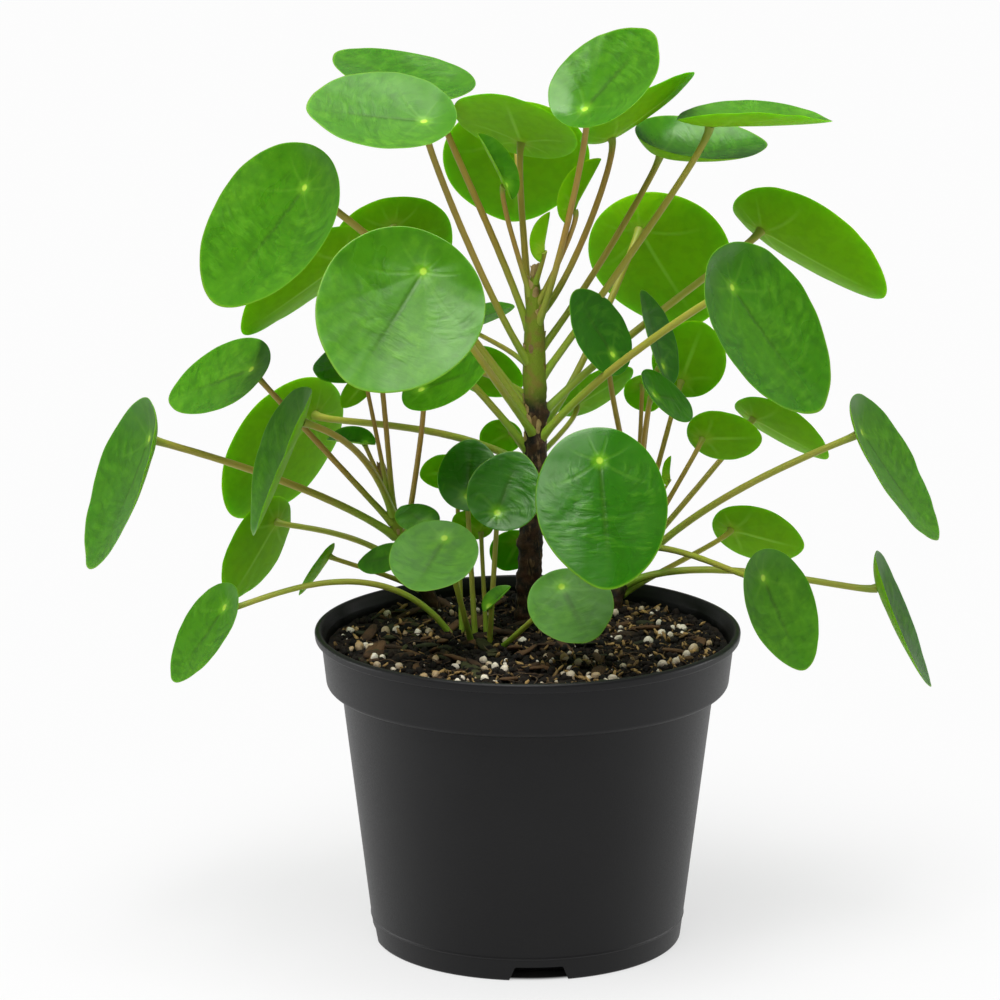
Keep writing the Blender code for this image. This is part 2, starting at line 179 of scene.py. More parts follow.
# ---- litter on the mix, in the order in which it is strewn ----
# number of crumbs, smallest and largest radius, density at (x, y), margin along the wall, seed,
# how deep they sink as a share of their radius, and the shape of one crumb
LITTER = {
    "peat_crumbs": (3000, 0.4, 1.7, lambda x, y: 1.0, 2.5, 3, 0.5,
                    dict(Facets=1, Unevenness=0.9, Grain=900.0)),
    "bark_chips": (120, 1.2, 3.4, lambda x, y: 0.8 if x < 0 else 0.35, 6, 5, 0.5,
                   dict(Stretch=(2.3, 0.75, 0.34), Tumble=0.8)),
    "mossy_chips": (60, 1.2, 3.0, lambda x, y: 0.8 if x < -10 else 0.15, 6, 6, 0.5,
                    dict(Stretch=(2.0, 0.9, 0.4), Tumble=0.8)),
    "wood_flakes": (950, 0.35, 1.35, lambda x, y: 0.5 + 0.5 * (x > 10), 2.5, 8, -0.3,
                    dict(Facets=1, Stretch=(2.1, 0.7, 0.4), Tumble=2.2, Grain=900.0)),
    "perlite": (190, 0.45, 1.9, lambda x, y: 0.35 + 0.35 * (x > 15) + 0.50 * (y < -25), 3, 9, 0.1,
                dict(Stretch=(1.0, 0.88, 0.8), Unevenness=0.65, Grain=520.0)),
}
BIG_BEADS = [               # the perlite that stands out most, as (x, y, radius)
    (-52, 12, 2.1), (-48, 14, 1.6), (-40, 9, 1.7), (-36, 11, 1.5), (-61, -8, 2.1),
    (-57, -10, 1.8), (-59, -5, 1.5), (-45, -52, 2.3), (-37, -50, 1.9), (-33, -45, 1.7),
    (-16, -28, 1.8), (-12, -37, 1.7), (-22, -62, 2.0), (-7, -66, 2.3), (6, -67, 2.1),
    (13, -27, 2.1), (18, -33, 1.9), (24, -50, 1.9), (30, -52, 2.0), (44, -2, 2.2),
    (49, 8, 1.9), (60, -12, 2.3), (57, 16, 2.0), (48, -34, 2.0), (53, -30, 1.8)]
CRUMB_LOOKS = {             # the darkest colour, the lightest colour and the roughness
    "peat crumbs": ((0.001, 0.0006, 0.0004), (0.012, 0.006, 0.002), 0.85),
    "wood flakes": ((0.045, 0.022, 0.007), (0.5, 0.32, 0.11), 0.7),
    "bark chips": ((0.018, 0.009, 0.004), (0.13, 0.066, 0.025), 0.75),
    "mossy chips": ((0.016, 0.02, 0.005), (0.05, 0.052, 0.014), 0.75),
    "perlite": ((0.46, 0.29, 0.1), (1.0, 0.93, 0.76), 0.7),
    "root fibres": ((0.1, 0.06, 0.03), (0.28, 0.19, 0.11), 0.7),
    "dry stipules": ((0.18, 0.1, 0.035), (0.5, 0.36, 0.14), 0.65),
}

# ---- stage, in metres ----
FAR_GLOW, SHADOW_GLOW = 0.97, 0.69        # the floor's own light, away from the pot and beside it, where it is dimmed as a painted shadow
LIGHTS = [                  # name, place, width, height, power
    ("overhead", (-0.15, -0.30, 1.75), 1.0, 2.2, 48),
    ("left strip", (-1.2, 0.35, 0.14), 0.9, 0.28, 8),
    ("right strip", (1.2, 0.35, 0.14), 0.9, 0.28, 7),
]
CAMERA_PLACE = (-0.01005, -1.75865, 0.59013)
CAMERA_TILT = 76.38         # degrees up from straight down
LENS = 180


# ---- building node trees ----
GEOMETRY = "NodeSocketGeometry"
FLOAT = "NodeSocketFloat"
VECTOR = "NodeSocketVector"
MATERIAL = "NodeSocketMaterial"
SOCKET_TYPES = {float: FLOAT, int: "NodeSocketInt", tuple: VECTOR}


def math_method(operation, swapped=False):
    """An arithmetic method of a Field, which adds a Math node. swapped puts the field last."""
    def method(field, *others):
        return field.tree.math(operation, *((*others, field) if swapped else (field, *others)))
    return method


class Field:
    """A node's output that arithmetic can be written with."""

    def __init__(self, tree, socket):
        self.tree = tree
        self.socket = socket

    __add__ = math_method("ADD")
    __radd__ = math_method("ADD", swapped=True)
    __sub__ = math_method("SUBTRACT")
    __rsub__ = math_method("SUBTRACT", swapped=True)
    __mul__ = math_method("MULTIPLY")
    __rmul__ = math_method("MULTIPLY", swapped=True)
    __truediv__ = math_method("DIVIDE")
    __pow__ = math_method("POWER")
    __abs__ = math_method("ABSOLUTE")


class Tree:
    """A node tree being built, with short calls for the nodes that the plant uses."""

    def __init__(self, nodes, links):
        self.nodes = nodes
        self.links = links

    def put(self, socket, value):
        """Links a field to an input, or sets the input's own value."""
        if isinstance(value, Field):
            self.links.new(value.socket, socket)
        else:
            socket.default_value = value

    def add(self, kind, **values):
        """A node with its properties and inputs. Properties have small letters. An input starts with
        a capital and has _ for each space."""
        node = self.nodes.new(kind)
        for name, value in values.items():
            if name[0].islower():
                setattr(node, name, value)
            else:
                self.put(node.inputs[name.replace("_", " ")], value)
        return node

    def out(self, node, name=0):
        return Field(self, node.outputs[name])

    def made(self, kind, **values):
        """The first output of a new node."""
        return self.out(self.add(kind, **values))

    def filled(self, node, *values, out=0):
        """An output of a node whose inputs are given in their order."""
        for socket, value in zip(node.inputs, values):
            self.put(socket, value)
        return self.out(node, out)

    def math(self, operation, *values):
        return self.filled(self.add("ShaderNodeMath", operation=operation), *values)

    def vector(self, operation, *values, **options):
        return self.filled(self.add("ShaderNodeVectorMath", operation=operation), *values, **options)

    def scaled(self, vector, factor):
        return self.filled(self.add("ShaderNodeVectorMath", operation="SCALE", Scale=factor), vector)

    def steps(self, value, low, high, to_low=0.0, to_high=1.0):
        """A smooth step from one value to another as value goes from low to high."""
        node = self.add("ShaderNodeMapRange", interpolation_type="SMOOTHSTEP")
        return self.filled(node, value, low, high, to_low, to_high)

    def xyz(self, vector):
        """The three parts of a vector."""
        node = self.add("ShaderNodeSeparateXYZ", Vector=vector)
        return [self.out(node, axis) for axis in "XYZ"]

    def join_xyz(self, x, y, z):
        return self.made("ShaderNodeCombineXYZ", X=x, Y=y, Z=z)

    def hypotenuse(self, x, y):
        return self.math("SQRT", x * x + y * y)

    def noise(self, vector, scale, detail=2.0, roughness=0.5, distortion=0.0):
        """Noise about 0.5."""
        return self.made("ShaderNodeTexNoise", Vector=vector, Scale=scale, Detail=detail,
                         Roughness=roughness, Distortion=distortion)


class NodeGroup(Tree):
    """A reusable group. An input is given as its default, or as its socket type if it has none.
    With masks it is a shader group that puts them out, and without any it makes geometry."""

    def __init__(self, name, masks=(), **inputs):
        kind = "ShaderNodeTree" if masks else "GeometryNodeTree"
        self.group = bpy.data.node_groups.new(name, kind)
        super().__init__(self.group.nodes, self.group.links)
        new_socket = self.group.interface.new_socket
        for label, default in inputs.items():
            kind = SOCKET_TYPES.get(type(default), default)
            socket = new_socket(label.replace("_", " "), in_out="INPUT", socket_type=kind)
            if kind != default:
                socket.default_value = default
        for label in masks or ["Geometry"]:
            new_socket(label, in_out="OUTPUT", socket_type=FLOAT if masks else GEOMETRY)
        self.source = self.nodes.new("NodeGroupInput")
        self.sink = self.nodes.new("NodeGroupOutput")

    def __getitem__(self, name):
        """One of the group's inputs."""
        return Field(self, self.source.outputs[name])

    def give(self, **values):
        for name, value in values.items():
            self.put(self.sink.inputs[name], value)
        return self.group

    def give_geometry(self, geometry):
        """Puts the geometry out, shaded smooth and with its instances made real."""
        smooth = self.made("GeometryNodeSetShadeSmooth", Geometry=geometry)
        return self.give(Geometry=self.made("GeometryNodeRealizeInstances", Geometry=smooth))

    def place(self):
        return self.made("GeometryNodeInputPosition")

    def store(self, geometry, name, value, kind="FLOAT", domain="POINT"):
        return self.made("GeometryNodeStoreNamedAttribute", data_type=kind, domain=domain,
                         Geometry=geometry, Name=name, Value=value)

    def stored(self, name, kind="FLOAT"):
        return self.made("GeometryNodeInputNamedAttribute", data_type=kind, Name=name)

    def moved(self, geometry, **where):
        """Position puts the points somewhere, and Offset moves them by a distance."""
        return self.made("GeometryNodeSetPosition", Geometry=geometry, **where)

    def pushed_out(self, geometry, distance):
        outward = self.made("GeometryNodeInputNormal")
        return self.moved(geometry, Offset=self.scaled(outward, distance))

    def painted(self, geometry, material, selection=True):
        return self.made("GeometryNodeSetMaterial", Geometry=geometry, Selection=selection,
                         Material=material)

    def smooth_path(self, chain, count):
        """A smooth curve through a mesh's chain of points."""
        line = self.made("GeometryNodeMeshToCurve", Mesh=chain)
        curve = self.made("GeometryNodeCurveSplineType", spline_type="CATMULL_ROM", Curve=line)
        return self.made("GeometryNodeResampleCurve", Curve=curve, Count=count)

    def tube(self, path, sides, radius):
        """A tube with closed ends along a path."""
        ring = self.made("GeometryNodeCurvePrimitiveCircle", Resolution=sides, Radius=1)
        return self.made("GeometryNodeCurveToMesh", Curve=path, Profile_Curve=ring, Scale=radius,
                         Fill_Caps=True)

    def scattered(self, shape, turn, size, seed, grain, depth):
        """Copies of a shape at the group's places, each with its own tone and dents."""
        copies = self.made("GeometryNodeInstanceOnPoints", Points=self["Places"], Instance=shape,
                           Rotation=turn, Scale=size)
        tone = self.add("FunctionNodeRandomValue", data_type="FLOAT", Seed=seed)
        copies = self.store(copies, "tone", self.out(tone, 1), domain="INSTANCE")
        real = self.made("GeometryNodeRealizeInstances", Geometry=copies)
        dents = self.add("ShaderNodeTexNoise", Vector=self.place(), Scale=grain, Detail=1.0)
        shift = self.vector("SUBTRACT", self.out(dents, "Color"), (0.5, 0.5, 0.5))
        real = self.moved(real, Offset=self.scaled(shift, depth))
        return self.give_geometry(self.painted(real, self["Finish"]))


def new_object(name, data):
    item = bpy.data.objects.new(name, data)
    bpy.context.scene.collection.objects.link(item)
    return item


def settle(item):
    """Gives an object the plain mesh that its modifiers make, and removes them."""
    depsgraph = bpy.context.evaluated_depsgraph_get()
    mesh = bpy.data.meshes.new_from_object(item.evaluated_get(depsgraph),
                                           preserve_all_data_layers=True, depsgraph=depsgraph)
    item.modifiers.clear()
    item.data = mesh
    mesh.name = item.name


def grow(name, slot, nodes, group, mesh=None, **values):
    """A piece made by a Geometry Nodes group and kept as a plain mesh, in place of its CAD nodes.
    The values of the group's inputs are named like a node's, and a text is the name of a finish."""
    grown = new_object(name, mesh or bpy.data.meshes.new(name))
    modifier = grown.modifiers.new(group.name, "NODES")
    modifier.node_group = group
    for item in group.interface.items_tree:
        label = item.name.replace(" ", "_")
        if label in values:
            value = values[label]
            modifier[item.identifier] = bpy.data.materials[value] if isinstance(value, str) else value
    settle(grown)
    place_piece(grown, slot, *nodes)


# ---- Geometry Nodes: the leaf ----
def leaf_group():
    """A blade, folded along its midrib and grooved along its veins, and its petiole."""
    t = NodeGroup(
        "Leaf", Taper=0.05, Length=0.05, Width=0.045, Cup=0.002, Fold=0.1, Crease=0.05,
        Thickness=BLADE_THICKNESS * MM, Vein_Depth=0.0003, Wave=0.02, Seed=0.0, Shade=0.5, Dull=0.0,
        Tan=0.5, Navel=VECTOR, Tip_Way=VECTOR, Side_Way=VECTOR, Upper_Way=VECTOR, Root=VECTOR,
        Root_Handle=VECTOR, Blade_Handle=VECTOR, Petiole_Radius=0.0015, Root_Swell=0.5,
        Upper_Side=MATERIAL, Lower_Side=MATERIAL, Petiole=MATERIAL)

    # A grid runs from the navel over the upper side to the rim and back under the lower side.
    sheet = t.made("GeometryNodeMeshGrid", Size_X=1, Size_Y=1, Vertices_X=2 * RINGS + 1,
                   Vertices_Y=SECTORS + 1)
    x, y, _ = t.xyz(t.place())
    sheet = t.store(sheet, "sweep", x + 0.5)
    sheet = t.store(sheet, "turn", (y + 0.5) * (2 * math.pi))
    sweep = t.stored("sweep")
    turn = t.stored("turn")
    share = t.math("SINE", (1 - abs(sweep * 2 - 1)) * (math.pi / 2))
    cosine = t.math("COSINE", turn)
    sine = t.math("SINE", turn)

    # The outline, with a slightly pointed tip and an uneven rim.
    round_the_rim = t.join_xyz(cosine, sine, t["Seed"])
    wander = t.noise(round_the_rim, 0.9, detail=1.0) - 0.5
    flutter = t.noise(round_the_rim, 2.1, detail=1.0) - 0.5
    swell = share * (1 + wander * 0.07)
    drip_tip = t.math("MAXIMUM", cosine, 0.0) ** 12 * 0.03
    along = swell * t["Length"] * (0.5 - NAVEL_AT + cosine * 0.5 + drip_tip)
    across = swell * t["Width"] * 0.5 * sine * (1 - cosine * t["Taper"])

    # The height above the navel: the fold, the cup, the waves of the rim and the navel's dip.
    crease = t["Width"] * t["Crease"]
    folded = t.hypotenuse(across, crease) - crease
    height = folded * t.math("SINE", t["Fold"]) + t["Cup"] * share * share
    height = height + flutter * t["Wave"] * t["Length"] * share ** 2.5
    dip_width = share * share * t["Length"] * t["Length"]
    height = height - NAVEL_DIP * MM * t.math("EXPONENT", dip_width * -1.6e5)

    # Grooves along the veins, and soft swells between them.
    fan = turn - t.math("SINE", turn) * share * VEIN_CURVE
    ridge = t.math("SINE", fan * (VEINS / 2))
    puffs = t.math("SQRT", ridge * ridge + 0.02)
    grooves = (1 - puffs) * share * (1 - share ** 3) * t["Vein Depth"]
    swells = t.noise(t.join_xyz(along, across, t["Seed"]), 42, detail=1.0) - 0.5
    grooves = grooves - swells * share * t["Vein Depth"] * 1.6

    rim = t.math("SQRT", 1.0001 - share ** 14)
    half = t["Thickness"] * (0.5 - share * 0.16) * rim
    is_upper = t.math("LESS_THAN", sweep, 0.5)
    skin = height - t["Thickness"] * 0.5 + half * (is_upper * 2 - 1) - grooves
    spot = t["Navel"]
    for way, distance in (("Tip Way", along), ("Side Way", across * t.math("COSINE", t["Fold"])),
                          ("Upper Way", skin)):
        spot = t.vector("ADD", spot, t.scaled(t[way], distance))
    sheet = t.store(sheet, "blade", t.join_xyz(along, across, share), "FLOAT_VECTOR")
    sheet = t.moved(sheet, Position=spot)
    blade = t.made("GeometryNodeMergeByDistance", Geometry=sheet, Distance=2e-6)
    blade = t.painted(blade, t["Lower Side"])
    upper = t.made("FunctionNodeCompare", data_type="FLOAT", operation="LESS_THAN", A=sweep, B=0.5)
    blade = t.painted(blade, t["Upper Side"], upper)

    under_navel = t.scaled(t["Upper Way"], t["Thickness"] * 0.5 + NAVEL_DIP * MM)
    line = t.made("GeometryNodeCurvePrimitiveBezierSegment", Resolution=40, Start=t["Root"],
                  Start_Handle=t["Root Handle"], End_Handle=t["Blade Handle"],
                  End=t.vector("SUBTRACT", t["Navel"], under_navel))
    path = t.made("GeometryNodeResampleCurve", Curve=line, Count=44)
    progress = t.made("GeometryNodeSplineParameter")
    run = t.out(t.add("GeometryNodeSplineParameter"), "Length")
    path = t.store(path, "petiole", t.join_xyz(progress, run, t["Seed"]), "FLOAT_VECTOR")
    foot = 1 + t["Root Swell"] * t.math("EXPONENT", run * -230)
    collar = 1 + 0.5 * t.math("EXPONENT", (1 - progress) * -30)
    stalk = t.tube(path, 14, t["Petiole Radius"] * foot * collar * (1 - progress * 0.12))
    lumps = (t.noise(t.place(), 260, detail=2.0) - 0.5) * t["Petiole Radius"] * 0.16
    stalk = t.painted(t.pushed_out(stalk, lumps), t["Petiole"])

    join = t.add("GeometryNodeJoinGeometry")
    for part in (stalk, blade):
        t.put(join.inputs[0], part)
    leaf = t.out(join)
    for name in ("Shade", "Tan", "Dull"):
        leaf = t.store(leaf, name.lower(), t[name])
    return t.give_geometry(leaf)


# ---- Geometry Nodes: the stem ----
def stem_group():
    """Bark round a path of points that carry their radius, with rings of leaf scars."""
    t = NodeGroup("Stem", Path=GEOMETRY, Bark_Depth=0.0004, Green_From=0.19, Bark=MATERIAL)
    bark = t.tube(t.smooth_path(t["Path"], 300), 56, t.stored("radius"))
    place = t.place()
    _, _, z = t.xyz(place)
    woody = t.steps(z, t["Green From"], t["Green From"] - 0.012)
    squashed = t.vector("MULTIPLY", place, (1, 1, 0.45))
    rough = (t.noise(squashed, 420, detail=4.0) - 0.5) * (0.35 + woody)
    rings = (t.math("SINE", z * 1150 + t.noise(place, 90) * 5) * 0.5 + 0.5) ** 4 * 0.6
    cells = t.add("ShaderNodeTexVoronoi", feature="SMOOTH_F1", Vector=place, Scale=150)
    knobs = t.steps(t.out(cells, "Distance"), 0.45, 0.1) * 2.2
    relief = t["Bark Depth"] * (rough * 2.4 + (rings + knobs - 0.8) * woody)
    bark = t.store(t.pushed_out(bark, relief), "woody", woody)
    return t.give_geometry(t.painted(bark, t["Bark"]))


# ---- Geometry Nodes: what lies in the pot ----
def mix_group():
    """The potting mix's top roughened into lumps and hollows."""
    t = NodeGroup("Potting mix", Body=GEOMETRY, Lumps=0.0024, Top=0.1, Mix=MATERIAL)
    place = t.place()
    _, _, z = t.xyz(place)
    top = t.steps(z, t["Top"] - 0.0022, t["Top"] - 0.0012)
    coarse = t.noise(place, 110, detail=3.0, roughness=0.6) - 0.55
    fine = t.noise(place, 520, detail=3.0, roughness=0.7) - 0.5
    rise = (coarse * 1.6 + fine * 0.8) * t["Lumps"] * top
    mix = t.moved(t["Body"], Offset=t.join_xyz(0.0, 0.0, rise))
    return t.give_geometry(t.painted(mix, t["Mix"]))


def scatter_group():
    """Crumbs over the points of a mesh: each is a lump, stretched, turned and made uneven."""
    t = NodeGroup("Crumbs", Places=GEOMETRY, Stretch=(1, 1, 1), Tumble=3.14, Facets=2,
                  Unevenness=0.7, Grain=420.0, Seed=0, Finish=MATERIAL)
    lump = t.made("GeometryNodeMeshIcoSphere", Radius=1, Subdivisions=t["Facets"])
    pitch = t.add("FunctionNodeRandomValue", data_type="FLOAT_VECTOR", Seed=t["Seed"], Max=(1, 1, 1))
    a, b, c = t.xyz(t.out(pitch))
    turn = t.join_xyz((a - 0.5) * t["Tumble"], (b - 0.5) * t["Tumble"], c * 6.283)
    size = t.scaled(t["Stretch"], MM * t.stored("size"))
    return t.scattered(lump, turn, size, t["Seed"] + 7.0, t["Grain"], t["Unevenness"] * MM * 2)


def strand_group():
    """Thin fibres along the edges of a mesh, thicker in the middle than at the ends."""
    t = NodeGroup("Strands", Lines=GEOMETRY, Radius=0.00019, Finish=MATERIAL)
    path = t.smooth_path(t["Lines"], 14)
    progress = t.made("GeometryNodeSplineParameter")
    taper = 0.35 + t.math("SINE", progress * math.pi) * 0.65
    return t.give_geometry(t.painted(t.tube(path, 6, t["Radius"] * taper), t["Finish"]))


def scale_group():
    """Dry papery scales: each a thin pointed blade that leans away from where it grows."""
    t = NodeGroup("Scales", Places=GEOMETRY, Seed=0, Finish=MATERIAL)
    lens = t.made("GeometryNodeMeshIcoSphere", Radius=0.5, Subdivisions=3)
    x, y, z = t.xyz(t.place())
    up = z + 0.5
    shape = t.join_xyz(x * (0.75 - up * 0.35), y * 0.1 + up * up * 0.12 - x * x * 0.7, up)
    return t.scattered(t.moved(lens, Position=shape), t.stored("turn", "FLOAT_VECTOR"),
                       t.stored("size"), t["Seed"], 520.0, 0.0007)


# ---- materials ----
def vein_shader_group():
    """Veins that fan out from the navel, ripples between the midrib's side veins, and cells."""
    t = NodeGroup("Leaf veins", ["Veins", "Ripples", "Cells"], Blade=VECTOR, Seed=0.0)
    along, across, share = t.xyz(t["Blade"])
    radius = t.hypotenuse(along, across)
    turn = t.math("ARCTAN2", across, along)
    fan = (turn - t.math("SINE", turn) * share * VEIN_CURVE) * (VEINS / (2 * math.pi))
    off = abs(fan - t.math("ROUND", fan)) * radius * (2 * math.pi / VEINS)
    main = t.steps(off, 0.001, 0.0001) * t.steps(share, 0.95, 0.35)

    # The ripples run in arcs that bend to the tip, and fade at the navel, the rim and the back.
    arc = t.math("SQRT", along * along + across * across * 0.55) - abs(across) * 0.12
    ripples = t.noise(t.join_xyz(arc * 3.4, turn * radius, t["Seed"]), 115, 2.5, distortion=0.3)
    ripples = (ripples - 0.5) * t.steps(share, 0.12, 0.42) * t.steps(share, 1.0, 0.9)
    flat = t.join_xyz(along, across, t["Seed"])
    ripples = ripples * t.steps(t.noise(flat, 60, detail=1.0), 0.35, 0.6, 0.35, 1.0)
    ripples = ripples * t.steps(along / (radius + 0.0001), -0.45, 0.5, 0.15, 1.0)
    cells = t.noise(flat, 270, detail=3.0, roughness=0.55)
    return t.give(Veins=main, Ripples=ripples, Cells=cells)


def grain_shader_group():
    """Grain of two sizes over a surface."""
    t = NodeGroup("Grain", ["Patches", "Specks"], Place=VECTOR, Coarse=100.0, Fine=900.0)
    return t.give(Patches=t.noise(t["Place"], t["Coarse"], detail=3.0),
                  Specks=t.noise(t["Place"], t["Fine"], detail=4.0, roughness=0.65))


LEAF_VEINS = vein_shader_group()
GRAIN = grain_shader_group()


class Finish(Tree):
    """A material with one Principled shader, and short calls to paint it."""

    def __init__(self, name, roughness, specular, **values):
        self.material = bpy.data.materials.new(name)
        self.material.use_nodes = True
        super().__init__(self.material.node_tree.nodes, self.material.node_tree.links)
        self.shader = self.nodes["Principled BSDF"]
        self.set(Roughness=roughness, Specular_IOR_Level=specular, **values)

    def set(self, **values):
        for name, value in values.items():
            self.put(self.shader.inputs[name.replace("_", " ")], value)

    def bump(self, height, distance, strength):
        self.set(Normal=self.made("ShaderNodeBump", Height=height, Distance=distance,
                                  Strength=strength))

    def place(self):
        return self.out(self.add("ShaderNodeTexCoord"), "Object")

    def attribute(self, name, out="Fac"):
        return self.out(self.add("ShaderNodeAttribute", attribute_name=name), out)

    def mix(self, amount, low, high):
        """A colour between two colours."""
        node = self.add("ShaderNodeMix", data_type="RGBA")
        self.put(node.inputs[0], amount)
        for socket, color in ((node.inputs[6], low), (node.inputs[7], high)):
            self.put(socket, color if isinstance(color, Field) else (*color, 1))
        return self.out(node, 2)

    def paint(self, color, *coats):
        """Lays coats over a colour, each as (how much of it, its colour), and uses the result."""
        for amount, coat in coats:
            color = self.mix(amount, color, coat)
        self.set(Base_Color=color)

    def masks(self, group, **values):
        """All that a shader group puts out."""
        node = self.add("ShaderNodeGroup", node_tree=group, **values)
        return [self.out(node, mask.name) for mask in node.outputs]

    def grain(self, coarse, fine):
        """The patches and specks of a grain."""
        return self.masks(GRAIN, Place=self.place(), Coarse=coarse, Fine=fine)


class LeafSide(Finish):
    """The finish of one side of the leaves, with what it is painted from."""

    def __init__(self, name, roughness, specular, **values):
        super().__init__(name, roughness, specular, Subsurface_Scale=0.002, **values)
        self.blade = self.attribute("blade", "Vector")
        self.along, self.across, self.share = self.xyz(self.blade)
        self.radius = self.hypotenuse(self.along, self.across)
        self.shade = self.attribute("shade")
        self.veins, self.ripples, self.cells = self.masks(
            LEAF_VEINS, Blade=self.blade, Seed=self.shade * 40)
        self.patches, _ = self.grain(45.0, 420.0)
        self.tipward = self.steps(self.along, 0.0, 0.004)


def leaf_upper_side():
    t = LeafSide("leaf upper side", 0.5, 0.45, Specular_Tint=(0.85, 1, 0.75, 1),
                 Subsurface_Weight=0.35, Subsurface_Radius=(0.5, 1.0, 0.15))
    light_patches = t.steps(t.patches, 0.4, 0.7, 0.0, 0.35) * (t.shade + 0.4)
    blotches = t.steps(t.cells, 0.5, 0.66) * t.steps(t.patches, 0.42, 0.62, 0.05, 0.5)
    bend = (t.noise(t.blade, 40, detail=1.0) - 0.5) * 0.003 * t.steps(t.along, 0.0, 0.02)
    midrib = t.steps(abs(t.across + bend), 0.0018, 0.0001) * t.tipward * t.steps(t.share, 0.9, 0.4)
    t.paint(
        t.mix(t.shade, (0.022, 0.15, 0.0006), (0.07, 0.255, 0.002)),
        (light_patches, (0.085, 0.27, 0.004)),
        (blotches * t.shade, (0.125, 0.36, 0.006)),
        (t.steps(t.cells, 0.5, 0.34, 0.0, 0.25), (0.02, 0.105, 0.001)),
        (t.veins * 0.22, (0.13, 0.34, 0.02)),
        # Painted shade: the midrib's groove is darkened in colour.
        (midrib * 0.5, (0.012, 0.06, 0.001)),
        # Painted shade in the ripples' hollows and painted sheen on their crests.
        (t.steps(t.ripples, 0.0, -0.1, 0.0, 0.3), (0.018, 0.095, 0.001)),
        (t.steps(t.ripples, 0.02, 0.12, 0.0, 0.18), (0.14, 0.4, 0.02)),
        (t.steps(t.radius, 0.0045, 0.0008, 0.0, 0.8), (0.16, 0.42, 0.015)),     # round the navel
        (t.steps(t.radius, 0.0016, 0.0007), (0.46, 0.74, 0.06)),                # the navel
        (t.steps(t.share, 0.975, 0.995), (0.12, 0.3, 0.01)))                   # the rim
    t.set(Roughness=t.steps(t.patches, 0.35, 0.65, 0.25, 0.38) + t.attribute("dull") * 0.22)
    t.bump(t.ripples * 1.1 + t.cells * 0.08 - t.veins * 0.15, 0.0004, 0.75)


def leaf_lower_side():
    t = LeafSide("leaf lower side", 0.6, 0.06, Subsurface_Weight=0.7,
                 Subsurface_Radius=(0.5, 1.0, 0.12))
    midrib = t.steps(abs(t.across), 0.0011, 0.0003) * t.tipward * t.steps(t.share, 1.0, 0.3)
    vein_green = (0.3, 0.56, 0.05)
    t.paint(
        t.mix(t.shade, (0.135, 0.36, 0.0008), (0.185, 0.44, 0.0012)),
        (t.steps(t.patches, 0.35, 0.75, 0.0, 0.3), (0.22, 0.47, 0.004)),
        (t.steps(t.cells, 0.42, 0.62, 0.0, 0.16), (0.07, 0.18, 0.001)),
        (t.veins * 0.35, vein_green),
        (midrib * 0.45, vein_green),
        (t.steps(t.radius, 0.006, 0.0015), (0.25, 0.45, 0.02)))
    t.bump(t.veins * 0.6 + t.ripples, 0.0003, 0.6)


def petiole_skin():
    """Green at both ends, and between them as brown as the leaf's tan."""
    t = Finish("petiole", 0.42, 0.3, Subsurface_Weight=0.15, Subsurface_Scale=0.001,
               Subsurface_Radius=(0.6, 1.0, 0.2))
    progress, _, _ = t.xyz(t.attribute("petiole", "Vector"))
    tan = t.attribute("tan")
    patches, specks = t.grain(140.0, 1500.0)
    t.paint(
        t.mix(tan, (0.27, 0.5, 0.035), (0.3, 0.4, 0.035)),
        (t.steps(progress, 0.02, 0.45), t.mix(tan, (0.34, 0.43, 0.04), (0.43, 0.245, 0.05))),
        (t.steps(progress, 0.9, 0.99), (0.28, 0.36, 0.04)),
        (t.steps(patches, 0.4, 0.75, 0.0, 0.4), (0.44, 0.34, 0.07)))
    t.bump(specks, 0.0002, 0.5)


def stem_bark():
    """Green where the stem is young, and brown with pale fissures where it is woody."""
    t = Finish("bark", 0.7, 0.35)
    patches, specks = t.grain(260.0, 1300.0)
    stretched = t.vector("MULTIPLY", t.place(), (1, 1, 0.22))
    wood = t.mix(t.steps(patches, 0.35, 0.65), (0.006, 0.003, 0.002), (0.075, 0.034, 0.014))
    for amount, coat in (
            (t.steps(specks, 0.55, 0.8, 0.0, 0.6), (0.22, 0.13, 0.07)),
            (t.steps(t.noise(stretched, 620, detail=3.0), 0.55, 0.72, 0.0, 0.8), (0.26, 0.16, 0.075)),
            (t.steps(t.noise(t.place(), 150), 0.6, 0.72, 0.0, 0.5), (0.07, 0.02, 0.008))):
        wood = t.mix(amount, wood, coat)
    t.paint(
        t.mix(t.steps(patches, 0.45, 0.7), (0.2, 0.29, 0.012), (0.25, 0.22, 0.03)),
        (t.attribute("woody"), wood))
    t.bump(specks, 0.0006, 0.8)


def black_plastic():
    """Black plastic, with painted shade inside the pot's mouth."""
    t = Finish("black plastic", 0.42, 0.2)
    patches, specks = t.grain(30.0, 1700.0)
    x, y, z = t.xyz(t.place())
    inward = t.hypotenuse(x, y) - (z - 0.0953) * 0.1136         # follows the slope of the band
    # Painted shade: the plastic inside the pot's mouth is coloured darker.
    inside = t.steps(z, 0.094, 0.096) * t.steps(inward, 0.0727, 0.0722)
    t.paint(
        t.mix(patches, (0.0075, 0.0075, 0.008), (0.011, 0.011, 0.0115)),
        (inside, (0.002, 0.0025, 0.002)))
    t.set(Roughness=t.steps(specks, 0.3, 0.7, 0.4, 0.5))
    t.bump(specks, 0.00012, 0.35)


def potting_mix():
    t = Finish("potting mix", 0.9, 0.3)
    patches, specks = t.grain(240.0, 1500.0)
    t.paint(
        t.mix(t.steps(patches, 0.35, 0.65), (0.002, 0.0015, 0.001), (0.018, 0.01, 0.005)),
        (t.steps(specks, 0.6, 0.8, 0.0, 0.5), (0.1, 0.06, 0.035)))
    t.bump(specks, 0.001, 0.9)


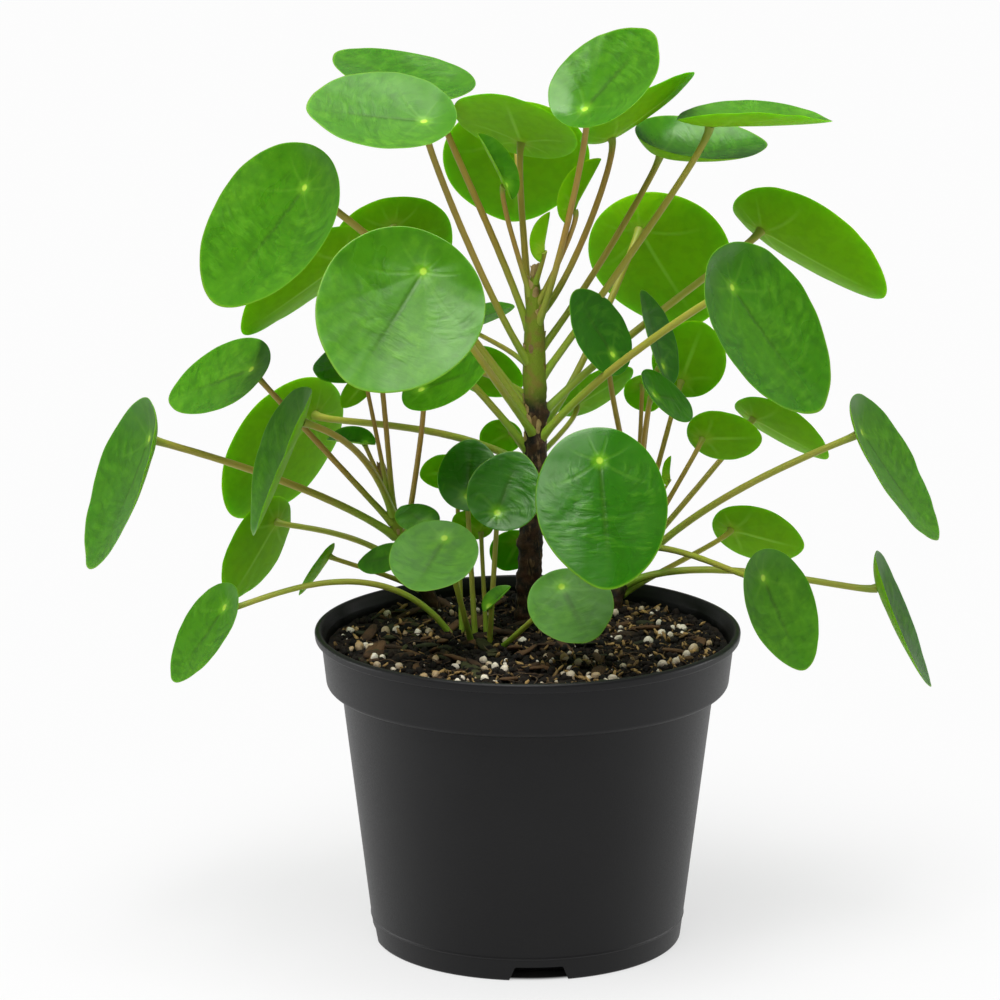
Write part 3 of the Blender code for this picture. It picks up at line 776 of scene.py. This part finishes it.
def crumb_finish(name, dark, light, roughness):
    """A mottled finish, from dark to light from crumb to crumb."""
    t = Finish(name, roughness, 0.35)
    patches, specks = t.grain(420.0, 2300.0)
    tone = t.attribute("tone") * 0.6 + patches * 0.5
    t.paint(t.mix(t.steps(tone, 0.15, 0.85), dark, light))
    t.bump(specks, 0.0006, 0.8)


def make_finishes():
    leaf_upper_side()
    leaf_lower_side()
    petiole_skin()
    stem_bark()
    black_plastic()
    potting_mix()
    for name, look in CRUMB_LOOKS.items():
        crumb_finish(name, *look)


# ---- pieces ----
def place_piece(piece, slot, *nodes):
    """Rides a finished piece on the plant's one body, in place of its CAD nodes."""
    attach(piece, "root")
    if nodes:
        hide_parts(*nodes)


def mesh_from(name, bm):
    """A mesh in metres from a bmesh in millimetres."""
    bmesh.ops.scale(bm, vec=(MM, MM, MM), verts=bm.verts)
    mesh = bpy.data.meshes.new(name)
    bm.to_mesh(mesh)
    bm.free()
    return mesh


def marked_points(name, chains, *marks):
    """Chains of points in millimetres, joined by edges. Each point is its place and then its value
    for each of the marks, which are (name, kind)."""
    bm = bmesh.new()
    layers = [getattr(bm.verts.layers, kind).new(label) for label, kind in marks]
    for chain in chains:
        verts = [bm.verts.new(place) for place, *_ in chain]
        for vert, (_, *values) in zip(verts, chain):
            for layer, value in zip(layers, values):
                vert[layer] = value
        for pair in zip(verts, verts[1:]):
            bm.edges.new(pair)
    return mesh_from(name, bm)


def soil_height(radius):
    return SOIL_TOP - SOIL_SAG * (radius / SOIL_RADIUS) ** 2


def stem_at(points, height):
    """Centre and radius of a stem at a height."""
    for low, high in zip(points, points[1:]):
        if height <= high[2]:
            break
    share = (height - low[2]) / (high[2] - low[2])
    mixed = [a + share * (b - a) for a, b in zip(low, high)]
    return Vector(mixed[:3]), mixed[3]


def square_to(along, heading):
    """The part of a heading that is square to a stem's direction, one unit long."""
    return (heading - heading.dot(along) * along).normalized()


def blade_ways(facing, spin):
    """The directions of the blade's upper side, of its tip and of its side."""
    bearing, elevation = (math.radians(angle) for angle in facing)
    level = math.cos(elevation)
    normal = Vector((level * math.sin(bearing), -level * math.cos(bearing), math.sin(elevation)))
    downhill = (normal * normal.z - Vector((0, 0, 1))).normalized()
    tip = Quaternion(normal, math.radians(spin)) @ downhill
    return normal, tip, normal.cross(tip)


def petiole_root(root, target, points):
    """Where a petiole leaves its stem, a little inside it, or the soil, a little under it."""
    if points is None:
        return Vector((*root, soil_height(math.hypot(*root)) - 2))
    centre, radius = stem_at(points, root)
    above, _ = stem_at(points, root + 1)
    along = (above - centre).normalized()
    return centre + square_to(along, (target - centre).normalized()) * radius * 0.6


def blade_shape(name, length, cup, fold):
    """How far a blade is cupped and folded. Open blades are flatter than their solids."""
    if name in ARCHED:
        return -0.6, -0.8 * fold
    if fold >= FOLDED_FROM:
        return cup, fold
    if length > LARGE and cup < 3:
        cup += 0.03 * length
    return cup, fold * 0.2


def make_leaf(name, nodes, group, rng, row, points):
    """One leaf, from a row of the growth table."""
    root, navel, facing, spin, length, width, cup, fold, rise, tan = row
    navel = Vector(navel)
    normal, tip, side = blade_ways(facing, spin)
    reach = PETIOLE_REACH * length * (0.3 if length < SMALL else 1)
    bend = navel - normal * (BLADE_THICKNESS + reach)
    start = petiole_root(root, bend + Vector((0, 0, 4 * rise)), points)
    lean = start.lerp(bend, 0.34) + Vector((0, 0, 2.2 * rise))
    cup, fold = blade_shape(name, length, cup, fold)
    vein_depth = 0.003 if name in ARCHED else 0.006
    stoutness = 0.92 if length > TINY else 0.6
    grow(
        name, "leaves", nodes, group, Length=length * MM, Width=width * MM,
        Taper=rng.uniform(0.02, 0.08), Cup=cup * MM, Fold=math.radians(fold),
        Crease=0.16 if fold < 20 else 0.05,
        Thickness=min(BLADE_THICKNESS, 0.45 + 0.01 * length) * MM,
        Vein_Depth=vein_depth * length * MM, Wave=rng.uniform(0.012, 0.034),
        Seed=rng.uniform(0, 50), Shade=0.0 if name in DEEP_GREEN else rng.uniform(0.25, 0.9),
        Dull=float(name in DULL), Tan=tan, Navel=navel * MM, Tip_Way=tip, Side_Way=side,
        Upper_Way=normal, Root=start * MM, Root_Handle=lean * MM, Blade_Handle=bend * MM,
        Petiole_Radius=(PETIOLE_RADIUS + PETIOLE_GROWTH * length) * stoutness * MM,
        Root_Swell=0.45 if points else 0.25, Upper_Side="leaf upper side",
        Lower_Side="leaf lower side", Petiole="petiole")


def make_leaves():
    group = leaf_group()
    rng = random.Random(7)
    for name, rows in LEAVES.items():
        for i, row in enumerate(rows, 1):
            make_leaf(f"blade_{name}_{i:02d}", [f"leaf_{name}_{i:02d}"], group, rng, row,
                      STEMS.get(name))
    make_leaf("bud_right_stem", [], group, rng, BUD, STEMS["right_stem"])


def make_stems():
    group = stem_group()
    for name, points in STEMS.items():
        path = marked_points(name, [[(point[:3], point[3] * MM) for point in points]],
                             ("radius", "float"))
        grow(f"bark_{name}", "stems", [name], group, path, Bark="bark",
             Green_From=GREEN_FROM[name], Bark_Depth=0.00045 if name == "main_stem" else 0.0003)


def make_stipules():
    """Dry stipules, two over each petiole's foot and a tuft of them at each stem's tip."""
    group = scale_group()
    rng = random.Random(5)
    up = Vector((0, 0, 1))
    for seed, (name, points) in enumerate(STEMS.items()):
        smallest, largest = (3.2, 5.8) if name == "main_stem" else (2.5, 4.5)
        scales = []
        for root, navel, *_ in LEAVES[name]:
            if name == "main_stem" and root < BARE_BELOW:
                continue
            centre, radius = stem_at(points, root + 2)
            along = (stem_at(points, root + 3)[0] - centre).normalized()
            for spread in (-0.5, 0.5):
                turn = Quaternion(along, spread * rng.uniform(0.5, 1.3))
                outward = square_to(along, turn @ (Vector(navel) - centre))
                size = rng.uniform(smallest, largest)
                scales.append((centre, outward, along, radius * 0.92, size))
        for i in range(4):
            outward = Quaternion(up, 1.6 * i) @ Vector((1, 0, 0))
            scales.append((Vector(points[-1][:3]) - up * 3, outward, up, 0.9, rng.uniform(5, 8)))
        chains = [
            [(centre + outward * radius, size * MM,
              Matrix((outward.cross(along), outward, along)).transposed().to_euler())]
            for centre, outward, along, radius, size in scales]
        label = f"stipules_{name}"
        places = marked_points(label, chains, ("size", "float"), ("turn", "float_vector"))
        grow(label, "stems", [], group, places, Seed=seed, Finish="dry stipules")


def turned(outline, steps):
    """A closed solid turned about Z, from an outline that starts and ends on the axis."""
    bm = bmesh.new()
    verts = [bm.verts.new((radius, 0, height)) for radius, height in outline]
    edges = [bm.edges.new(pair) for pair in zip(verts, verts[1:])]
    bmesh.ops.spin(bm, geom=verts + edges, cent=(0, 0, 0), axis=(0, 0, 1), angle=2 * math.pi,
                   steps=steps, use_merge=True)
    bmesh.ops.remove_doubles(bm, verts=bm.verts, dist=0.001)
    bmesh.ops.recalc_face_normals(bm, faces=bm.faces)
    return bm


def rounded(corners, steps=6):
    """An outline of (radius, height, fillet) corners, each fillet made into an arc."""
    points = [Vector(corner[:2]) for corner in corners]
    outline = [points[0]]
    for before, corner, after, (_, _, fillet) in zip(points, points[1:], points[2:], corners[1:]):
        if not fillet:
            outline.append(corner)
            continue
        first, second = (before - corner).normalized(), (after - corner).normalized()
        half = first.angle(second) / 2
        centre = corner + (first + second).normalized() * fillet / math.sin(half)
        start, end = ((corner + way * fillet / math.tan(half) - centre).normalized()
                      for way in (first, second))
        outline += [centre + fillet * start.slerp(end, i / steps) for i in range(steps + 1)]
    return outline + [points[-1]]


def make_pot():
    """The pot's shell with its rolled lip, its band, a line round its foot and its drains."""
    foot_of_band = POT_HEIGHT - BAND_HEIGHT
    under_lip = POT_HEIGHT - LIP_HEIGHT
    slope = (WALL_RADIUS - BASE_RADIUS) / foot_of_band

    def wall(height):
        return BASE_RADIUS + slope * height

    corners = [
        (0, 0.4, 0), (BASE_RADIUS - 12, 0.4, 0.3), (BASE_RADIUS - 11, 0, 0.3), (BASE_RADIUS, 0, 1.2),
        (wall(8.2), 8.2, 0.2), (wall(8.5) + 0.35, 8.7, 0.3), (wall(9.2) + 0.1, 9.4, 0.3),
        (WALL_RADIUS, foot_of_band, 0.5),
        (BAND_RADIUS, foot_of_band, 2.4), (BAND_TOP_RADIUS, under_lip, 0.3),
        (LIP_RADIUS - 0.4, under_lip, 0.8), (LIP_RADIUS, POT_HEIGHT, 1.1),
        (BAND_TOP_RADIUS + 0.2, POT_HEIGHT, 1.0), (BAND_TOP_RADIUS - WALL, under_lip - 0.5, 1.5),
        (BAND_RADIUS - WALL, foot_of_band + WALL, 1.5),
        (WALL_RADIUS - WALL, foot_of_band + WALL, 0.5), (BASE_RADIUS - WALL, FLOOR, 1.0),
        (0, FLOOR, 0)]
    pot = new_object("pot_shell", mesh_from("pot_shell", turned(rounded(corners), 160)))
    cutters = [drain_cutter(i) for i in range(DRAINS)]
    for cutter in cutters:
        modifier = pot.modifiers.new(cutter.name, "BOOLEAN")
        modifier.operation = "DIFFERENCE"
        modifier.object = cutter
    settle(pot)
    for cutter in cutters:
        bpy.data.objects.remove(cutter)
    pot.data.materials.clear()
    pot.data.materials.append(bpy.data.materials["black plastic"])
    pot.data.shade_smooth()
    pot.data.set_sharp_from_angle(angle=math.radians(35))
    place_piece(pot, "pot", "pot")
    return pot


def drain_cutter(index):
    """A wedge with slanting sides and rounded upper corners that opens the pot's bottom edge."""
    low, high = DRAIN_BOTTOM_WIDTH / 2, DRAIN_TOP_WIDTH / 2
    outline = [(-low, -5), (low, -5), (low, 0)]
    for i in range(7):
        turn = math.radians(15 * i)
        outline.append((high - 1 + math.cos(turn), DRAIN_HEIGHT - 1 + math.sin(turn)))
    outline += [(-y, z) for y, z in reversed(outline[2:])]
    bm = bmesh.new()
    face = bm.faces.new([bm.verts.new((DRAIN_REACH, y, z)) for y, z in outline])
    pushed = bmesh.ops.extrude_face_region(bm, geom=[face])
    far = [item for item in pushed["geom"] if isinstance(item, bmesh.types.BMVert)]
    bmesh.ops.translate(bm, vec=(BASE_RADIUS + 5 - DRAIN_REACH, 0, 0), verts=far)
    bmesh.ops.recalc_face_normals(bm, faces=bm.faces)
    turn = Quaternion((0, 0, 1), math.radians(DRAIN_TURN + 360 * index / DRAINS - 90))
    bmesh.ops.rotate(bm, cent=(0, 0, 0), matrix=turn.to_matrix(), verts=bm.verts)
    return new_object(f"drain_cutter_{index + 1}", mesh_from("drain_cutter", bm))


def make_mix():
    """The potting mix: a solid that fills the pot, with a finely divided top."""
    floor, drain_roof, under_band = FLOOR + 0.3, DRAIN_HEIGHT + 0.3, 97.3
    outline = [Vector(corner) for corner in (
        (0, floor), (DRAIN_REACH - 0.3, floor), (DRAIN_REACH - 0.3, drain_roof),
        (BASE_RADIUS - 2, drain_roof), (WALL_RADIUS - 2, under_band),
        (BAND_RADIUS - 2.2, under_band))]
    rings = 90
    for i in range(rings, -1, -1):
        radius = (SOIL_RADIUS + 0.3) * i / rings
        outline.append(Vector((radius, soil_height(radius))))
    grow("potting_mix", "soil", ["soil"], mix_group(), mesh_from("potting_mix", turned(outline, 260)),
         Top=(SOIL_TOP - SOIL_SAG) * MM, Mix="potting mix")


def strewn(rng, count, low, high, density, margin):
    """Places on the soil, as (x, y, size), more of them where density(x, y) is larger."""
    places = []
    while len(places) < count:
        x, y = rng.uniform(-SOIL_RADIUS, SOIL_RADIUS), rng.uniform(-SOIL_RADIUS, SOIL_RADIUS)
        if math.hypot(x, y) > SOIL_RADIUS - margin or rng.random() > density(x, y):
            continue
        feet = (points[1] for points in STEMS.values())
        if any(math.hypot(x - foot_x, y - foot_y) < radius + 1 for foot_x, foot_y, _, radius in feet):
            continue
        places.append((x, y, low + (high - low) * rng.random() ** 2))
    return places


def make_litter():
    """What lies on the potting mix: crumbs, bark, mossy chips, perlite and root fibres."""
    group = scatter_group()
    rng = random.Random(21)
    for name, (count, low, high, density, margin, seed, sink, shape) in LITTER.items():
        places = strewn(rng, count, low, high, density, margin)
        if name == "perlite":
            places += BIG_BEADS
        chains = []
        for x, y, size in places:
            lump = noise.noise(Vector((x, y, 0)) * 0.11)
            height = soil_height(math.hypot(x, y)) + size * (1 - sink) * 0.6 + lump
            chains.append([((x, y, height), size)])
        grow(name, "soil", [], group, marked_points(name, chains, ("size", "float")), Seed=seed,
             Finish=name.replace("_", " "), **shape)

    lines = []
    for x, y, _ in strewn(rng, 90, 1, 1, lambda x, y: 1.0, 12):
        turn = rng.uniform(0, 2 * math.pi)
        bend = rng.uniform(-0.9, 0.9)
        step = rng.uniform(1.6, 3.4)
        chain = []
        for _ in range(5):
            height = soil_height(math.hypot(x, y)) + 1.1 + rng.uniform(-0.8, 1.0)
            chain.append([(x, y, height)])
            turn += bend * rng.uniform(0.2, 1.0)
            x, y = x + step * math.cos(turn), y + step * math.sin(turn)
        if math.hypot(x, y) < SOIL_RADIUS - 2:
            lines.append(chain)
    grow("root_fibres", "soil", [], strand_group(), marked_points("root_fibres", lines),
         Finish="root fibres")


# ---- stage ----
def make_floor():
    """A pale floor that glows, with a painted shadow beside the pot, where its glow is dimmed, and
    painted shade under it, where the glow is off.
    """
    bm = bmesh.new()
    bmesh.ops.create_circle(bm, cap_ends=True, segments=96, radius=30 / MM)
    floor = new_object("floor", mesh_from("floor", bm))
    t = Finish("pale floor", 0.9, 0.1, Emission_Color=(1, 1, 1, 1))
    away = t.vector("LENGTH", t.place(), out="Value")
    # Beside the pot the floor takes light on a grey base and its glow is dimmed as a painted shadow;
    # under the pot the glow is off, as painted shade.
    shadow_zone = t.steps(away, 0.3, 0.09)
    t.paint(t.mix(shadow_zone, (0, 0, 0), (0.23, 0.23, 0.23)))
    t.set(Emission_Strength=t.steps(away, 0.052, 0.0555) * (FAR_GLOW - shadow_zone * (FAR_GLOW - SHADOW_GLOW)))
    floor.data.materials.append(t.material)


def make_stage(pot):
    """The floor, soft light from above, a strip to light each edge of the pot, and the camera."""
    make_floor()
    scene = bpy.context.scene
    scene.world = bpy.data.worlds.new("studio")
    scene.world.use_nodes = True
    sky = Tree(scene.world.node_tree.nodes, scene.world.node_tree.links)
    _, y, _ = sky.xyz(sky.out(sky.add("ShaderNodeTexCoord"), "Generated"))
    backdrop = sky.nodes["Background"]
    sky.put(backdrop.inputs["Strength"], 0.12 + sky.steps(y, -0.5, 0.5) * 0.13)
    sky.put(backdrop.inputs["Color"], (1, 1, 1, 1))

    edges = bpy.data.collections.new("lit by the strips")
    edges.objects.link(pot)
    for name, place, width, height, power in LIGHTS:
        light = bpy.data.lights.new(name, "AREA")
        light.shape = "RECTANGLE"
        light.size, light.size_y, light.energy = width, height, power
        lamp = new_object(name, light)
        lamp.location = place
        aim = Vector((0, 0, 0.17)) - Vector(place)
        lamp.rotation_euler = aim.to_track_quat("-Z", "Y").to_euler()
        if "strip" in name:
            lamp.light_linking.receiver_collection = edges

    scene.camera = new_object("camera", bpy.data.cameras.new("camera"))
    scene.camera.data.lens = LENS
    scene.camera.location = CAMERA_PLACE
    scene.camera.rotation_euler = (math.radians(CAMERA_TILT), 0, 0)
    scene.view_settings.view_transform = "Standard"


make_finishes()
make_stage(make_pot())
make_mix()
make_litter()
make_stems()
make_stipules()
make_leaves()
